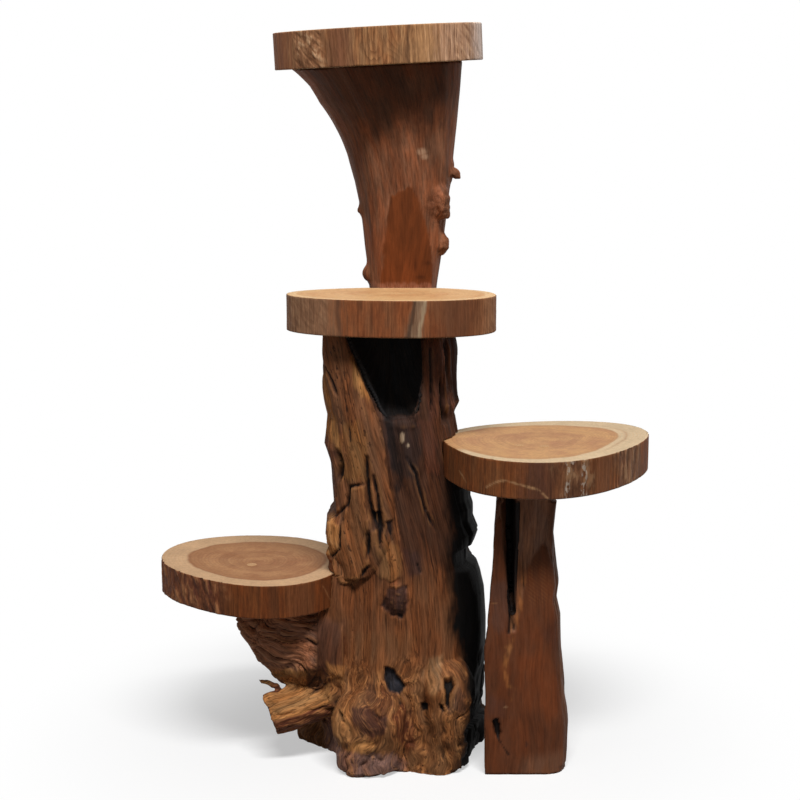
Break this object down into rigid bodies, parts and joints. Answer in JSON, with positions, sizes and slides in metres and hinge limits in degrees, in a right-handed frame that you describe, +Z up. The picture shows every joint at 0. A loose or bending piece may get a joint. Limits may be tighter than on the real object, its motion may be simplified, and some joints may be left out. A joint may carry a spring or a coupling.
{
  "type": "display shelf",
  "caption": "Free-standing rustic display shelf: cross-cut log slabs at stepped heights on a root-footed tree stump, a flaring upper post and a short sawn side post.",
  "frame": {"origin": "on the floor, in the middle of the stump's sawn foot", "axes": "+Z up, +X to the right as seen from the front, -Y towards the viewer"},
  "size_m": [0.7168, 0.3906, 1.0608],
  "materials": {
    "stump_wood": "weathered, oiled",
    "post_wood": "sanded, satin oil",
    "slab_wood": "sanded, satin oil",
    "dowel_wood": "plain",
    "plug_wood": "sanded, satin oil",
    "screw_steel": "zinc plated"
  },
  "bodies": {
    "root": {"stump": "stump_wood", "upper_post": "post_wood", "right_post": "post_wood", "middle_slab": "slab_wood", "top_slab": "slab_wood", "right_slab": "slab_wood", "left_slab": "slab_wood", "middle_slab_dowels": "dowel_wood", "upper_post_dowels": "dowel_wood", "right_post_dowel": "dowel_wood", "left_slab_dowels": "dowel_wood", "top_slab_plugs": "plug_wood", "right_slab_plugs": "plug_wood", "left_slab_plug": "plug_wood", "lap_screws": "screw_steel", "top_slab_screws": "screw_steel", "right_slab_screws": "screw_steel", "left_slab_screw": "screw_steel"}
  },
  "joints": []
}
